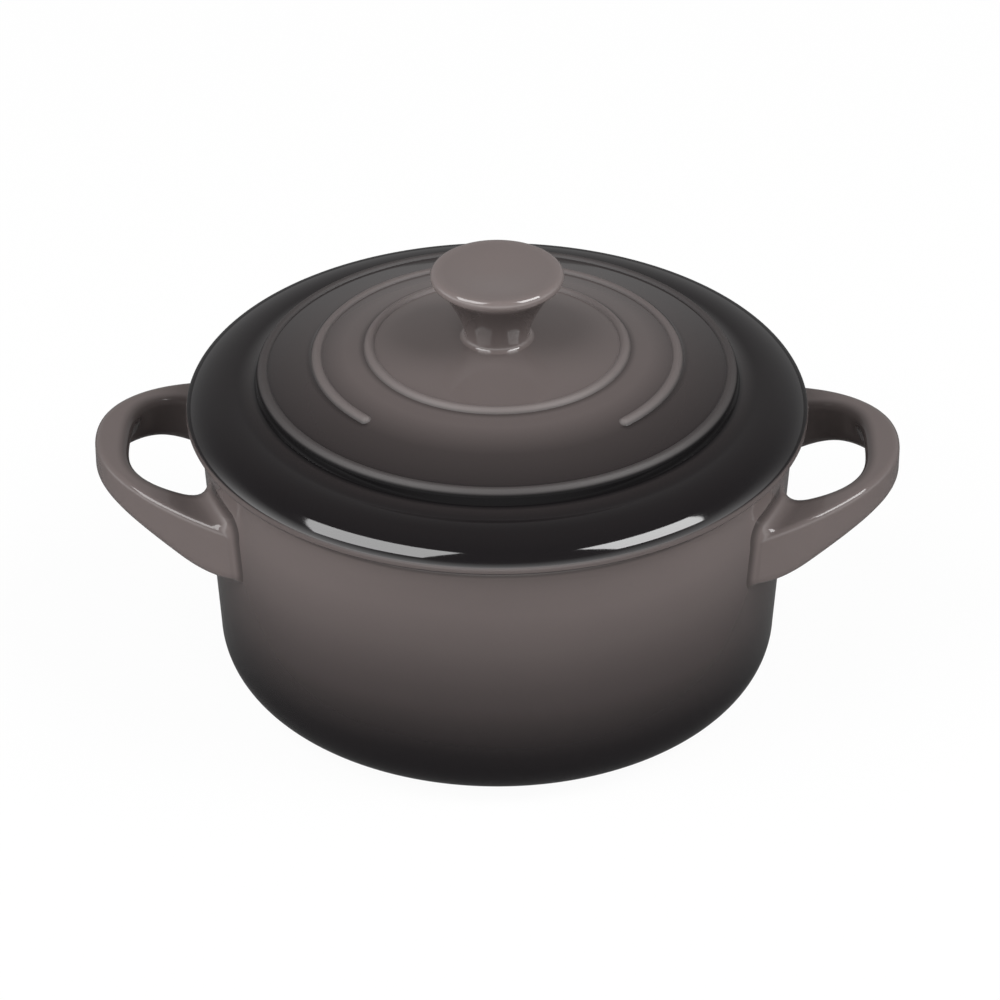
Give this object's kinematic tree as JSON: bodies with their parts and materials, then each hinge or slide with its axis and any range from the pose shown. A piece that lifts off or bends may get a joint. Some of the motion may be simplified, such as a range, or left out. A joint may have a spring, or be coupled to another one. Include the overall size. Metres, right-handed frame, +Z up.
{
  "type": "mini cocotte",
  "caption": "Small round glazed stoneware pot with loop handles and a ringed, overhanging lift-off lid with a mushroom knob, for baking and serving one portion.",
  "frame": {"origin": "middle of the foot ring, at table level, on the pot's axis", "axes": "+Z up along the pot's axis, X through the two handles, -Y towards the viewer of the picture"},
  "size_m": [0.14, 0.1076, 0.077],
  "materials": {
    "pot_glaze": "glossy taupe glaze over stoneware, shading to charcoal towards the foot",
    "handle_glaze": "glossy taupe glaze over stoneware",
    "lid_glaze": "glossy glaze, charcoal on the shoulder, shading to taupe at the centre",
    "knob_glaze": "glossy taupe glaze over stoneware"
  },
  "bodies": {
    "pot": {"pot_body": "pot_glaze", "left_handle": "handle_glaze", "right_handle": "handle_glaze"},
    "lid": {"lid": "lid_glaze", "lid_knob": "knob_glaze"}
  },
  "joints": [
    {"name": "lid_lift", "type": "slide", "parent": "pot", "child": "lid", "axis": [0, 0, 1], "range_m": [0, 0.1]}
  ]
}
